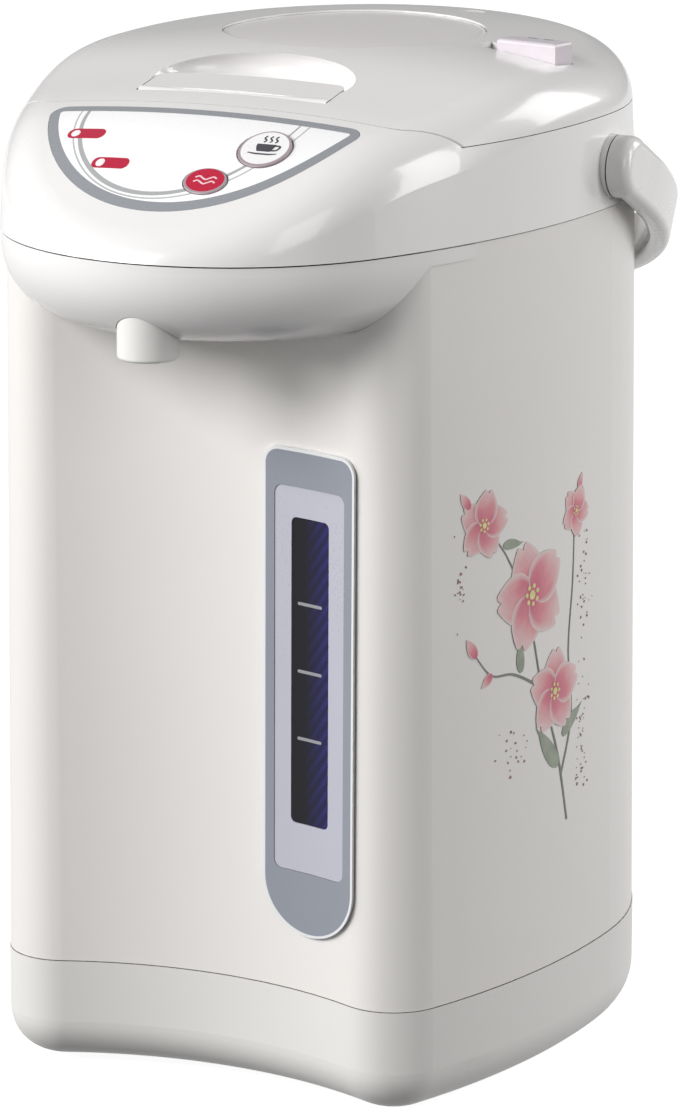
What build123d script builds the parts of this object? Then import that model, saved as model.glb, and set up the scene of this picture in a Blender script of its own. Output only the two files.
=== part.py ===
from build123d import *
from functools import cache
import math
import os

# Hot water dispenser: an electric airpot with a hand pump, on a swivel base.
# Millimetres. The origin is on the table, on the axis that the body swivels about.
# +Z is up, the spout points along -Y, and +X is at the right hand of someone facing the spout.

# Plan of the body at the seam of its foot: a round back, long side arcs, small corners, hollow front
back_radius = 103.0
side_radius = 268.0
corner_radius = 20.0
front_radius = 142.5
front_depth = 103.4
jacket_draft = 2.6

# Heights of the parting lines
base_low = 2.6
base_seam = 40.7
jacket_top = 301.4
lid_seam = 333.3

# Walls, and the clearances between neighbours
plastic_wall = 2.6
jacket_wall = 0.8
cover_gap = 0.3
seam_gap = 0.5
pivot_gap = 0.05
slide_gap = 0.35

# Foot and turntable
base_proud = 0.3
base_edge = 16.0
base_lip = 7.0
turntable_radius = 78.0
turntable_low = 2.0
turntable_plate = 3.0
turntable_groove = 25.0
recess_radius = 80.0
recess_top = 7.6
hub_radius = 12.0
retainer_radius = 20.0
foot_radius = 8.0
foot_circle = 64.0
foot_count = 5

# Head: its plan, its crown and its rounded shoulder
head_proud = 0.8
head_draft = 5.0
head_draft_height = 80.0
nose_reach = 167.0
head_shoulder = 19.5
crown_drop = 11.0
crown_half = 115.0
crown_profile = [(-190, 294), (-152, 317), (-112, 341), (-80, 348.6), (-48, 355.0), (0, 357.1), (50, 356.2), (112, 350.8)]

# Lid plan: straight front edge, slanting corners, straight rear edge at the hinge
lid_front = -102.0
lid_front_half = 66.0
lid_corner_x = 86.0
lid_corner_y = -84.0
lid_rear = 84.4
lid_lean = 0.7
hinge_z = 350.2
hinge_radius = 4.2
hinge_gap = 0.45
knuckle_inner = 20.0
knuckle_outer = 31.0
hinge_pin_radius = 1.5

# Mouth of the head, the pot and what it stands on
deck_z = 323.0
deck_wall = 2.4
mouth_radius = 74.0
mouth_low = 306.0
pot_radius = 79.0
pot_wall = 0.6
pot_bottom = 62.0
pot_corner = 12.0
pot_rim = 311.0
pot_flange = 87.0
seal_height = 1.9
heater_radius = 50.0

# Chin and nozzle of the spout
chin_low = 273.0
chin_edge = 25.0
chin_gap = 0.4
corner_front = -84.0
nozzle_y = -151.0
nozzle_radius = 10.3
nozzle_bore = 4.0
nozzle_low = 267.5
nozzle_top = 292.0

# Level gauge
gauge_x = 38.0
bezel_half = 19.5
bezel_low = 61.5
bezel_high = 231.0
bezel_proud = 1.6
bezel_gap = 0.1
label_half = 14.9
label_low = 84.0
label_high = 218.0
window_half = 7.9
window_low = 101.2
window_high = 207.5
tube_y = -96.0
tube_radius = 6.0
tube_bore = 4.8

# Control panel: a circle cut off by the straight rear edge
panel_radius = 60.5
panel_centre_y = -92.0
panel_rear = -106.4
panel_corner = 5.0
panel_depth = 0.8
dispense_x = 29.5
dispense_y = -124.3
dispense_radius = 9.2
dispense_tilt = 30.0
reboil_x = 15.5
reboil_y = -139.8
reboil_half = 7.7
reboil_aspect = 0.78
reboil_tilt = 35.0
button_proud = 0.4
lens_radius = 1.3

# Lever, its scoop and the latch
scoop_y = -76.0
scoop_z = 350.0
scoop_half = 37.0
scoop_length = 27.0
scoop_depth = 12.0
bowl_wall = 2.2
lever_half = 35.2
lever_rear = -74.2
lever_thick = 2.4
lever_y = -88.4
lever_z = 343.9
lever_barrel = 2.6
lever_pin_radius = 1.1
latch_half = 14.0
latch_low = 330.8
latch_height = 3.0
latch_reach = 3.0
latch_spring_length = 16.0

# Push plate, its guide and the bellows under it
plate_y = 4.5
plate_radius = 46.0
plate_thick = 2.6
plate_recess = 0.8
plate_skirt = 13.0
guide_wall = 2.4
bellows_radius = 34.0
bellows_folds = 4
plate_seat = 350.2

# Lock slider
slider_x = 73.5
slider_y = -6.5
slider_turn = -12.0
slider_length = 24.5
slider_width = 9.8
slider_top = 358.0
slider_low = 344.0
slider_travel = 8.0
tongue_low = 337.0
tongue_reach = 47.6

# Steam vent
vent_x = 16.0
vent_y = 68.5
vent_length = 10.0
vent_width = 7.0

# Lid liner, inner lid and gasket
liner_low = 328.0
liner_wall = 2.4
liner_gap = 1.0
inner_lid_radius = 70.0
inner_lid_low = 317.5
gasket_radius = 73.2

# Swing handle
handle_z = 315.4
handle_rest = 27.2
handle_half = 106.5
handle_reach = 122.8
handle_thick = 8.0
handle_tall = 21.0
handle_round = 3.5
handle_straight = 16.0
handle_bend = 72.5
hub_disc = 10.8
boss_disc = 11.0
boss_proud = 102.0
handle_pin = 4.0

# Electric parts
pump_x = 20.0
pump_y = -52.0
pump_radius = 19.0
pump_low = 34.0
pump_height = 12.0
motor_radius = 14.0
hose_radius = 5.0
hose_bore = 3.5
board_thick = 1.6
inlet_z = 25.0
inlet_width = 30.0
inlet_height = 23.0
inlet_depth = 20.0
socket_width = 24.4
socket_height = 17.0
socket_depth = 17.0
blade_length = 14.0


def arc_about(centre, start, end):
    middle = (start - centre) + (end - centre)
    return ThreePointArc(start, centre + middle.normalized() * (start - centre).length, end)


def body_outline(grow, z):
    # Every arc keeps its centre when the outline grows, and the hollow front arc shrinks
    side_centre = Vector(back_radius - side_radius, 0)
    front_centre = Vector(0, -front_depth - front_radius)
    inner = side_radius - corner_radius
    outer = front_radius + corner_radius
    span = front_centre - side_centre
    along = (inner**2 - outer**2 + span.length**2) / (2 * span.length)
    across = math.sqrt(inner**2 - along**2)
    unit = span.normalized()
    corner = side_centre + unit * along + Vector(-unit.Y, unit.X) * across
    side_point = corner + (corner - side_centre).normalized() * (corner_radius + grow)
    front_point = corner + (front_centre - corner).normalized() * (corner_radius + grow)
    back = Vector(back_radius + grow, 0)
    edges = [
        ThreePointArc(back, Vector(0, back_radius + grow), mirrored(back)),
        arc_about(mirrored(side_centre), mirrored(back), mirrored(side_point)),
        arc_about(mirrored(corner), mirrored(side_point), mirrored(front_point)),
        ThreePointArc(mirrored(front_point), Vector(0, -front_depth - grow), front_point),
        arc_about(corner, front_point, side_point),
        arc_about(side_centre, side_point, back),
    ]
    return Pos(0, 0, z) * make_face(edges)


def mirrored(point):
    return Vector(-point.X, point.Y)


def jacket_inset(z):
    return jacket_draft * (z - base_seam) / (jacket_top - base_seam)


def body_form(grow, low, high):
    # The jacket narrows evenly from the foot to the head
    foot = body_outline(grow - jacket_inset(low), low)
    head = body_outline(grow - jacket_inset(high), high)
    return loft([foot, head], ruled=True)


def head_outline(inset, z):
    # One nose arc runs into the two side arcs of the body, and the back is round
    drafted = inset + head_draft * (z - jacket_top) / head_draft_height
    centre = back_radius - side_radius
    back = back_radius - jacket_draft + head_proud - drafted
    side = back - centre
    reach = nose_reach - drafted
    nose = (side**2 - reach**2 - centre**2) / (2 * (side - reach))
    nose_centre = Vector(0, nose - reach)
    side_centre = Vector(centre, 0)
    right = nose_centre + (nose_centre - side_centre).normalized() * nose
    end = Vector(back, 0)
    edges = [
        ThreePointArc(end, Vector(0, back), mirrored(end)),
        arc_about(mirrored(side_centre), mirrored(end), mirrored(right)),
        ThreePointArc(mirrored(right), Vector(0, -reach), right),
        arc_about(side_centre, right, end),
    ]
    return Pos(0, 0, z) * make_face(edges)


def head_walls(inset, low, high):
    return loft([head_outline(inset, low), head_outline(inset, high)], ruled=True)


def crown_section(x, drop):
    points = [Vector(x, y, z - drop) for y, z in crown_profile]
    low = jacket_top - 2 * crown_drop - head_shoulder
    rear = Vector(x, points[-1].Y, low)
    front = Vector(x, points[0].Y, low)
    edges = [Spline(*points), Line(points[-1], rear), Line(rear, front), Line(front, points[0])]
    return make_face(edges)


@cache
def crown_form(sink):
    # The crown falls away to both sides as a shallow arch
    stations = [-1, -0.5, 0, 0.5, 1]
    return loft([crown_section(s * crown_half, crown_drop * s * s + sink) for s in stations])


@cache
def head_form(inset):
    low = jacket_top + seam_gap
    form = head_walls(inset, low, jacket_top + head_draft_height) & crown_form(inset)
    rim = form.edges().filter_by(lambda edge: edge.bounding_box().min.Z > low + seam_gap)
    return fillet(rim, head_shoulder - inset)


def lid_plan(gap):
    # The gap draws the lid in on every side from the edge of the head
    wide = back_radius + head_shoulder
    front = lid_front + gap
    corner = lid_corner_y + gap
    rear = lid_rear
    points = [
        (-wide, rear), (-wide, corner), (-lid_corner_x, corner), (-lid_front_half, front),
        (lid_front_half, front), (lid_corner_x, corner), (wide, corner), (wide, rear),
    ]
    outline = make_face(Polyline(*points, close=True))
    bends = outline.vertices().filter_by(lambda vertex: abs(vertex.X) < wide - 1)
    return fillet(bends, corner_radius / 2)


def block(x_range, y_range, z_range):
    size = [pair[1] - pair[0] for pair in (x_range, y_range, z_range)]
    middle = [(pair[1] + pair[0]) / 2 for pair in (x_range, y_range, z_range)]
    return Pos(*middle) * Box(*size)


def upright(radius, low, high, x=0.0, y=0.0):
    return Pos(x, y, (low + high) / 2) * Cylinder(radius, high - low)


def pipe(radius, bore, low, high, x=0.0, y=0.0):
    return upright(radius, low, high, x, y) - upright(bore, low - 1, high + 1, x, y)


def crosswise(radius, x_low, x_high, y, z):
    return Pos((x_low + x_high) / 2, y, z) * Rot(0, 90, 0) * Cylinder(radius, x_high - x_low)


def save(name, shape):
    export_step(shape, "parts/" + name + ".step")


# Turntable

def turntable():
    plate = upright(turntable_radius, turntable_low, turntable_low + turntable_plate)
    rib_outer = foot_circle - foot_radius
    rib = pipe(rib_outer, rib_outer - 4, turntable_low, recess_top - cover_gap)
    hub = upright(hub_radius, turntable_low, recess_top + plastic_wall + cover_gap)
    body = chamfer(plate.edges().filter_by(GeomType.CIRCLE), 0.8) + rib + hub
    # A shallow ring groove sets off the flat pad under the swivel's axis
    body -= pipe(turntable_groove + 1, turntable_groove - 1, turntable_low - 1, turntable_low + 0.8)
    return body - upright(2.2, turntable_low + 1, recess_top + 10)


def rubber_feet():
    foot = upright(foot_radius, 0, turntable_low)
    foot = chamfer(foot.edges().filter_by(lambda edge: edge.center().Z < 0.1), 0.6)
    return Compound(children=[copy_of for copy_of in PolarLocations(foot_circle, foot_count) * foot])


def swivel_retainer():
    low = recess_top + plastic_wall + cover_gap
    return upright(retainer_radius, low, low + 1.6) - upright(2.2, low - 1, low + 3)


def swivel_screw():
    low = recess_top + plastic_wall + cover_gap + 1.6
    return upright(4.2, low, low + 2.4) + upright(2.0, turntable_low + 1, low)


# Foot and jacket

def base_shell():
    outer = extrude(body_outline(base_proud, base_low), base_seam - base_low)
    low_edges = outer.edges().filter_by(lambda edge: edge.bounding_box().max.Z < base_low + 0.1)
    outer = fillet(low_edges, base_edge)
    floor = base_low + plastic_wall
    cavity = extrude(body_outline(base_proud - plastic_wall, floor), base_seam)
    low_edges = cavity.edges().filter_by(lambda edge: edge.bounding_box().max.Z < floor + 0.1)
    cavity = fillet(low_edges, base_edge - plastic_wall)
    cavity -= upright(recess_radius + plastic_wall, floor - 1, recess_top + plastic_wall)
    lip_grow = -jacket_wall - cover_gap
    lip_low = base_seam - base_lip
    lip = extrude(body_outline(lip_grow, lip_low), 2 * base_lip)
    lip -= extrude(body_outline(lip_grow - 1.8, lip_low - 1), 2 * base_lip + 2)
    ledge = extrude(body_outline(-seam_gap, base_seam - 3), 3 + cover_gap)
    ledge -= extrude(body_outline(lip_grow - 1, base_seam - 4), 8)
    body = outer - cavity + lip + ledge
    body -= upright(recess_radius, base_low - 1, recess_top)
    body -= upright(hub_radius + pivot_gap, base_low - 1, base_seam)
    body -= inlet_opening()
    return body + cradle_posts() - cradle_holes()


def cradle_places():
    return PolarLocations(heater_radius + 14, 4, start_angle=45)


def cradle_posts():
    return cradle_places() * upright(6.0, recess_top + 1, base_seam)


def cradle_holes():
    return cradle_places() * upright(1.7, base_seam - 12, base_seam + 1)


def inlet_opening():
    half = inlet_width / 2 - 2
    tall = inlet_height / 2 - 2
    return block((-half, half), (back_radius - 30, back_radius + 5), (inlet_z - tall, inlet_z + tall))


def body_jacket():
    low = base_seam + cover_gap
    body = body_form(0, low, jacket_top) - body_form(-jacket_wall, low, jacket_top)
    grip = slot_prism(label_half - 3, window_low - 8, window_high + 6, 4)
    return body - grip


# Level gauge, laid on the hollow front of the jacket

def slot_prism(half, low, high, round_by):
    middle = (low + high) / 2
    plan = Pos(gauge_x, middle) * RectangleRounded(2 * half, high - low, round_by)
    return extrude(Plane.XZ * plan, front_depth + corner_radius)


def bezel_prism(grow):
    half = bezel_half + grow
    low = bezel_low - grow
    high = bezel_high + grow
    plan = Pos(gauge_x, (low + half + high) / 2) * Rectangle(2 * half, high - low - half)
    plan = fillet(plan.vertices().group_by(Axis.Y)[-1], 6.0)
    plan += Pos(gauge_x, low + half) * Circle(half)
    return extrude(Plane.XZ * plan, front_depth + corner_radius)


def front_layer(prism, low_grow, high_grow):
    # What a prism cuts from a skin between two distances off the jacket
    low = base_seam + 5
    high = jacket_top - 20
    return (prism & body_form(high_grow, low, high)) - body_form(low_grow, low, high)


def gauge_bezel():
    body = front_layer(bezel_prism(0), bezel_gap, bezel_proud)
    recess = slot_prism(label_half + 0.1, label_low - 0.1, label_high + 0.1, 3.1)
    body -= front_layer(recess, bezel_proud - 0.9, bezel_proud + 1)
    return body - slot_prism(window_half + 0.15, window_low - 0.15, window_high + 0.15, 2.1)


def gauge_label():
    plate = slot_prism(label_half, label_low, label_high, 3)
    body = front_layer(plate, bezel_proud - 0.85, bezel_proud - 0.25)
    return body - slot_prism(window_half + 0.15, window_low - 0.15, window_high + 0.15, 2.1)


def gauge_window():
    return front_layer(slot_prism(window_half, window_low, window_high, 2), -2.0, bezel_proud - 0.4)


def level_tube():
    return pipe(tube_radius, tube_bore, pot_bottom - 4, jacket_top - 5, gauge_x, tube_y)


# Pot and what heats it

def revolved(points):
    return revolve(make_face(Plane.XZ * Polyline(*points, close=True)), Axis.Z)


def inner_pot():
    outer = upright(pot_radius + pot_wall, pot_bottom, pot_rim + pot_wall)
    outer = fillet(outer.edges().filter_by(lambda edge: edge.center().Z < pot_bottom + 1), pot_corner)
    cavity = upright(pot_radius, pot_bottom + pot_wall, pot_rim + 2)
    rounded = cavity.edges().filter_by(lambda edge: edge.center().Z < pot_bottom + 2)
    cavity = fillet(rounded, pot_corner - pot_wall)
    flange = pipe(pot_flange, pot_radius, pot_rim, pot_rim + pot_wall)
    outlet = upright(hose_bore, pot_bottom - 1, pot_bottom + 2, pump_x, pump_y)
    return outer - cavity + flange - outlet


def pot_seal():
    low = pot_rim + pot_wall
    return pipe(pot_flange - 1, pot_radius + 1, low, low + seal_height)


def pot_filter():
    low = pot_bottom + pot_wall
    cap = upright(9, low, low + 5, pump_x, pump_y)
    cap = fillet(cap.edges().filter_by(lambda edge: edge.center().Z > low + 4), 2)
    cap -= upright(7.8, low - 1, low + 3.8, pump_x, pump_y)
    slots = Pos(pump_x, pump_y) * PolarLocations(0, 6) * block((4, 12), (-0.8, 0.8), (low + 1, low + 3.4))
    return cap - slots


def heater_plate():
    high = pot_bottom
    plate = upright(heater_radius, high - 2, high)
    ring = Pos(0, 0, high - 4.5) * Torus(heater_radius - 12, 3.2)
    ends = PolarLocations(heater_radius - 12, 2, start_angle=80, angular_range=20)
    return plate + ring + ends * upright(2.4, high - 12, high - 3)


def thermostat():
    high = pot_bottom - 2
    can = upright(8, high - 9, high, 12, 12)
    ears = block((0, 24), (9, 15), (high - 1.2, high))
    blades = Pos(12, 12) * GridLocations(8, 0, 2, 1) * block((-0.4, 0.4), (-3, 3), (high - 17, high - 9))
    return can + ears + blades


def pot_cradle():
    low = base_seam
    reach = heater_radius + 22
    ring = pipe(reach, heater_radius + 4, low, low + 1.5)
    ring -= cradle_places() * upright(2.1, low - 1, low + 3)
    rest = PolarLocations(heater_radius + 8, 4, start_angle=45) * block((-2, 2), (-4, 4), (low + 1, pot_bottom))
    ring -= upright(pump_radius + 1.5, low - 1, low + 3, pump_x, pump_y)
    ring -= block((gauge_x - 6, gauge_x + 6), (-reach, pump_y), (low - 1, low + 3))
    return ring + rest


def cradle_screws():
    low = base_seam + 1.5
    screw = upright(3.4, low, low + 2.2) + upright(1.6, low - 10, low)
    return Compound(children=[copy_of for copy_of in cradle_places() * screw])


# Pump and water path

def pump_housing():
    body = upright(pump_radius, pump_low, pump_low + pump_height, pump_x, pump_y)
    body = fillet(body.edges().filter_by(lambda edge: edge.center().Z > pump_low + 5), 2)
    middle = pump_low + pump_height / 2
    outlet_x = gauge_x
    fitted = hose_bore - pivot_gap
    spout = Pos(outlet_x, tube_y + 24, middle) * Rot(90, 0, 0) * Cylinder(fitted, 32)
    neck = upright(fitted, pump_low + pump_height - 1, pump_low + pump_height + 8, pump_x, pump_y)
    legs = Pos(pump_x, pump_y) * PolarLocations(pump_radius - 3, 3, start_angle=60)
    feet = legs * upright(2.5, recess_top + plastic_wall, pump_low + 1)
    bores = Pos(outlet_x, tube_y + 24, middle) * Rot(90, 0, 0) * Cylinder(hose_bore - 1, 34)
    return body + spout + neck + feet - bores


def pump_motor():
    low = recess_top + plastic_wall + 4
    body = upright(motor_radius - 1, low, pump_low, pump_x, pump_y)
    return body + upright(4, low - 2, low, pump_x, pump_y)


def inlet_tube():
    low = pump_low + pump_height
    return pipe(hose_radius, hose_bore, low, pot_bottom, pump_x, pump_y)


def outlet_elbow():
    middle = pump_low + pump_height / 2
    start = (gauge_x, tube_y + 16, middle)
    path = FilletPolyline(start, (gauge_x, tube_y, middle), (gauge_x, tube_y, pot_bottom - 4), radius=8)
    return swept_tube(path, hose_radius, hose_bore)


def swept_tube(path, radius, bore):
    place = Plane(origin=path @ 0, z_dir=path % 0)
    return sweep(place * Circle(radius), path) - sweep(place * Circle(bore), path)


def outlet_pipe():
    high = jacket_top + 8
    corners = [(gauge_x, tube_y, jacket_top - 5), (gauge_x, tube_y, high), (0, nozzle_y, high - 6)]
    path = FilletPolyline(*corners, (0, nozzle_y, nozzle_top), radius=9)
    return swept_tube(path, hose_radius, hose_bore)


# Head

def mouth_ring():
    flange_low = pot_rim + pot_wall + seal_height
    tube_outer = mouth_radius + deck_wall
    tube = pipe(tube_outer, mouth_radius, mouth_low, deck_z + deck_wall)
    flange = pipe(pot_flange + 1, mouth_radius, flange_low, flange_low + deck_wall)
    return tube + flange


def collar():
    hollow = head_form(plastic_wall)
    shell = head_form(0) - hollow
    deck = head_walls(plastic_wall / 2, deck_z, deck_z + deck_wall)
    deck &= block((-120, 120), (lid_front - deck_wall, 120), (deck_z - 1, deck_z + 5))
    deck -= upright(mouth_radius, deck_z - 1, deck_z + 5)
    front_wall = (Pos(0, -deck_wall) * lid_plan(0)) - lid_plan(0)
    front_wall = extrude(Pos(0, 0, deck_z) * front_wall, crown_half) & head_form(plastic_wall / 2)
    front_wall &= block((-120, 120), (-200, 0), (deck_z, 400))
    crest = block((-120, 120), (lid_rear + hinge_gap, lid_rear + hinge_gap + deck_wall), (deck_z, 400))
    crest &= head_form(plastic_wall / 2)
    body = shell + deck + mouth_ring()
    body -= extrude(Pos(0, 0, lid_seam) * lid_plan(0), crown_half)
    body += front_wall + crest
    body += jacket_flange()
    body = add_hinge_seat(body)
    body = add_handle_seats(body)
    body -= latch_hole()
    body -= panel_recess()
    body -= button_holes(dispense_place(), dispense_radius + slide_gap, 1.0)
    body -= button_holes(reboil_place(), reboil_half + slide_gap, reboil_aspect)
    for place in lens_places():
        body -= place * Cylinder(lens_radius + 0.05, 12)
    return body + board_posts()


def board_posts():
    # The control board hangs from two posts under the panel
    posts = []
    for x in (-36, 36):
        post = board_place() * Pos(x, -8, board_thick / 2 + 10) * Cylinder(3.0, 20)
        posts.append(post & head_form(plastic_wall / 2))
    return Compound(children=posts)


def jacket_flange():
    low = jacket_top
    grow = -jacket_draft - cover_gap
    flange = extrude(body_outline(grow, low), 2.2) - extrude(body_outline(grow - 8, low - 1), 5)
    skirt = extrude(body_outline(grow - jacket_wall, low - 7), 9)
    skirt -= extrude(body_outline(grow - jacket_wall - 1.8, low - 8), 12)
    skirt -= upright(tube_radius + 1, low - 10, low + 6, gauge_x, tube_y)
    return flange + skirt - upright(2 * tube_radius, low, low + 6, gauge_x, tube_y)


def add_hinge_seat(body):
    channel = hinge_radius + hinge_gap
    trough = crosswise(channel + deck_wall, -crown_half, crown_half, lid_rear, hinge_z)
    trough &= block((-crown_half, crown_half), (lid_rear + hinge_gap, lid_rear + 20), (deck_z, 400))
    body += trough & head_form(plastic_wall / 2)
    body -= crosswise(channel, -crown_half, crown_half, lid_rear, hinge_z)
    relief = crosswise(channel + 0.8, -crown_half, crown_half, lid_rear, hinge_z)
    body -= relief & block((-crown_half, crown_half), (lid_rear - 10, lid_rear + 10), (hinge_z + 2, 400))
    for side in (-1, 1):
        ends = sorted((side * knuckle_inner, side * knuckle_outer))
        knuckle = crosswise(hinge_radius, ends[0], ends[1], lid_rear, hinge_z)
        web = block(ends, (lid_rear, lid_rear + 6), (hinge_z - hinge_radius, hinge_z))
        body += (knuckle + web) & head_form(0)
    return body - crosswise(hinge_pin_radius, -knuckle_outer - 2, knuckle_outer + 2, lid_rear, hinge_z)


def add_handle_seats(body):
    wall_x = back_radius - jacket_draft
    for side in (-1, 1):
        inner = crosswise(boss_disc - 3, *sorted((side * (wall_x - 7), side * wall_x)), 0, handle_z)
        outer = crosswise(boss_disc, *sorted((side * (wall_x - 1.2), side * boss_proud)), 0, handle_z)
        body += inner + outer
        ends = sorted((side * (wall_x - 12), side * (wall_x + 5)))
        body -= crosswise(handle_pin + pivot_gap, ends[0], ends[1], 0, handle_z)
    return body


def latch_hole():
    half = latch_half + slide_gap
    low = latch_low - slide_gap
    high = latch_low + latch_height + slide_gap
    return block((-half, half), (lid_front - deck_wall - 1, lid_front + 8), (low, high))


# Control panel

def panel_prism(gap):
    disc = Pos(0, panel_centre_y) * Circle(panel_radius + gap)
    cut = Pos(0, panel_rear + gap - panel_radius) * Rectangle(4 * panel_radius, 2 * panel_radius)
    plan = fillet((disc & cut).vertices(), panel_corner)
    return extrude(Pos(0, 0, jacket_top + 5) * plan, crown_half)


def panel_recess():
    return panel_prism(0.1) - sunk_head(panel_depth)


def sunk_head(sink):
    return Pos(0, 0, -sink) * head_form(0)


def panel_overlay():
    body = (panel_prism(0) & sunk_head(0)) - sunk_head(panel_depth)
    body -= button_holes(dispense_place(), dispense_radius + slide_gap, 1.0)
    body -= button_holes(reboil_place(), reboil_half + slide_gap, reboil_aspect)
    for place in lens_places():
        body -= place * Cylinder(lens_radius + 0.05, 12)
    return body


@cache
def crown_height(x, y):
    # Height of the crown above a place in plan
    ray = Pos(x, y, crown_half) * Rectangle(0.02, 0.02)
    column = extrude(ray, 4 * crown_half) & head_form(0)
    return column.bounding_box().max.Z


def surface_place(x, y, tilt):
    return Pos(x, y, crown_height(x, y)) * Rot(tilt, 0, 0)


def dispense_place():
    return surface_place(dispense_x, dispense_y, dispense_tilt)


def reboil_place():
    return surface_place(reboil_x, reboil_y, reboil_tilt)


def lens_places():
    return [surface_place(-41.5, -122.8, dispense_tilt), surface_place(-25.6, -135.4, reboil_tilt)]


def oval(half, aspect):
    return Circle(half) if aspect == 1.0 else Ellipse(half, half * aspect)


def button_holes(place, half, aspect):
    return place * extrude(Pos(0, 0, -9) * oval(half, aspect), 18)


def push_button(place, half, aspect):
    cap = extrude(Pos(0, 0, -5) * oval(half, aspect), 5 + button_proud)
    top = cap.edges().filter_by(lambda edge: edge.center().Z > 0)
    cap = fillet(top, 0.35)
    flange = extrude(Pos(0, 0, -5.5) * oval(half + 1.4, aspect), 1.4)
    stem = upright(2.5, -7.9, -5)
    return place * (cap + flange + stem)


def indicator_lenses():
    return Compound(children=[place * Pos(0, 0, -1.4) * Cylinder(lens_radius, 3.0) for place in lens_places()])


def board_place():
    middle_y = (dispense_y + reboil_y) / 2
    high = (crown_height(0, dispense_y) + crown_height(0, reboil_y)) / 2
    tilt = (dispense_tilt + reboil_tilt) / 2
    return Pos(0, middle_y, high) * Rot(tilt, 0, 0) * Pos(0, 0, -14)


def control_board():
    board = board_place() * Box(84, 24, board_thick)
    chips = block((-28, -16), (-4, 5), (0, 2.5)) + block((-6, 1), (2, 9), (0, 2))
    board += board_place() * chips
    for x, y in ((dispense_x, dispense_y), (reboil_x, reboil_y)):
        offset = y - (dispense_y + reboil_y) / 2
        along = offset / math.cos(math.radians((dispense_tilt + reboil_tilt) / 2))
        switch = block((x - 3, x + 3), (along - 3, along + 3), (0, 4.2))
        board += board_place() * switch
    return board


# Chin and nozzle

def chin_form(inset):
    low = chin_low + inset
    plan = Pos(0, 0, low - jacket_top) * head_outline(chin_gap + inset, jacket_top)
    walls = extrude(plan, jacket_top - low)
    edges = walls.edges().filter_by(lambda edge: edge.bounding_box().max.Z < low + 0.1)
    return fillet(edges, chin_edge - inset)


def chin_cover():
    body = chin_form(0) - chin_form(plastic_wall)
    body -= body_form(cover_gap, chin_low - 10, jacket_top + 5)
    body &= block((-crown_half, crown_half), (-200, corner_front), (0, 400))
    lip = head_walls(plastic_wall + chin_gap, jacket_top - 4, jacket_top + 1.5)
    lip -= head_walls(2 * plastic_wall, jacket_top - 5, jacket_top + 5)
    lip &= block((-crown_half, crown_half), (-200, corner_front), (0, 400))
    lip -= body_form(cover_gap, chin_low - 10, jacket_top + 10)
    body += lip
    return body - upright(nozzle_radius + cover_gap, nozzle_low, nozzle_top + 5, 0, nozzle_y)


def spout_nozzle():
    body = upright(nozzle_radius, nozzle_low, nozzle_top, 0, nozzle_y)
    body = fillet(body.edges().filter_by(lambda edge: edge.center().Z < nozzle_low + 1), 1.2)
    body += upright(nozzle_radius + 0.9, nozzle_top - 1.8, nozzle_top, 0, nozzle_y)
    body -= upright(nozzle_bore, nozzle_low - 1, nozzle_top + 1, 0, nozzle_y)
    return body - Pos(0, nozzle_y, nozzle_low) * Cone(nozzle_bore + 2.5, nozzle_bore, 4)


# Lid

def lid_prism(gap):
    # The edge leans inwards at its foot, so it clears the head as the lid swings up
    foot = Pos(0, 0, lid_seam + gap) * lid_plan(gap + lid_lean)
    upper = Pos(0, 0, lid_seam + 12) * lid_plan(gap)
    return loft([foot, upper], ruled=True) + extrude(upper, crown_half)


def lid_shell():
    outside = head_form(0) & lid_prism(seam_gap / 2)
    inside = head_form(plastic_wall) & inner_lid_prism()
    body = outside - inside
    body += guide_ring() + scoop_wall() + screw_bosses()
    body -= scoop_cutter() + lever_slot()
    body -= upright(plate_radius + slide_gap, lid_seam - 5, lid_seam + 40, 0, plate_y)
    body += hinge_barrel()
    for side in (-1, 1):
        ends = sorted((side * (knuckle_inner - cover_gap), side * (knuckle_outer + cover_gap)))
        body -= crosswise(hinge_radius + hinge_gap, ends[0], ends[1], lid_rear, hinge_z)
    bore_end = knuckle_outer + 4
    body -= crosswise(hinge_pin_radius + pivot_gap, -bore_end, bore_end, lid_rear, hinge_z)
    body -= crosswise(lever_pin_radius, -lever_half - 2, lever_half + 2, lever_y, lever_z)
    body -= slider_slot() + tongue_window() + latch_hole()
    body -= vent_prism(cover_gap / 2)
    return body


def screw_places():
    return [Pos(x, y) for x, y in ((-76, -42), (76, -42), (-62, 50), (62, 50))]


def screw_bosses():
    low = liner_low + liner_wall
    bosses = []
    for place in screw_places():
        boss = (place * upright(4, low, lid_seam + 30)) & head_form(plastic_wall / 2)
        bosses.append(boss - place * upright(1.25, low - 1, low + 9))
    return Compound(children=bosses)


def lid_screws():
    screw = upright(3, liner_low - 1.8, liner_low) + upright(1.25, liner_low, liner_low + liner_wall + 7)
    return Compound(children=[place * screw for place in screw_places()])


def inner_lid_prism():
    plan = lid_plan(seam_gap / 2 + plastic_wall)
    keep = Pos(0, lid_rear - seam_gap - plastic_wall - crown_half) * Rectangle(4 * crown_half, 2 * crown_half)
    return extrude(Pos(0, 0, lid_seam - 5) * (plan & keep), crown_half)


def guide_ring():
    inner = plate_radius + slide_gap
    ring = pipe(inner + guide_wall, inner, hinge_z - plate_skirt - 2, hinge_z + 12, 0, plate_y)
    return ring & head_form(0)


def hinge_barrel():
    barrel = crosswise(hinge_radius, -crown_half, crown_half, lid_rear, hinge_z)
    across = (-crown_half, crown_half)
    web = block(across, (lid_rear - 6, lid_rear), (hinge_z - hinge_radius, hinge_z + hinge_radius))
    return (barrel + web) & head_form(0)


def hinge_pin():
    return crosswise(hinge_pin_radius, -knuckle_outer, knuckle_outer, lid_rear, hinge_z)


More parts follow.
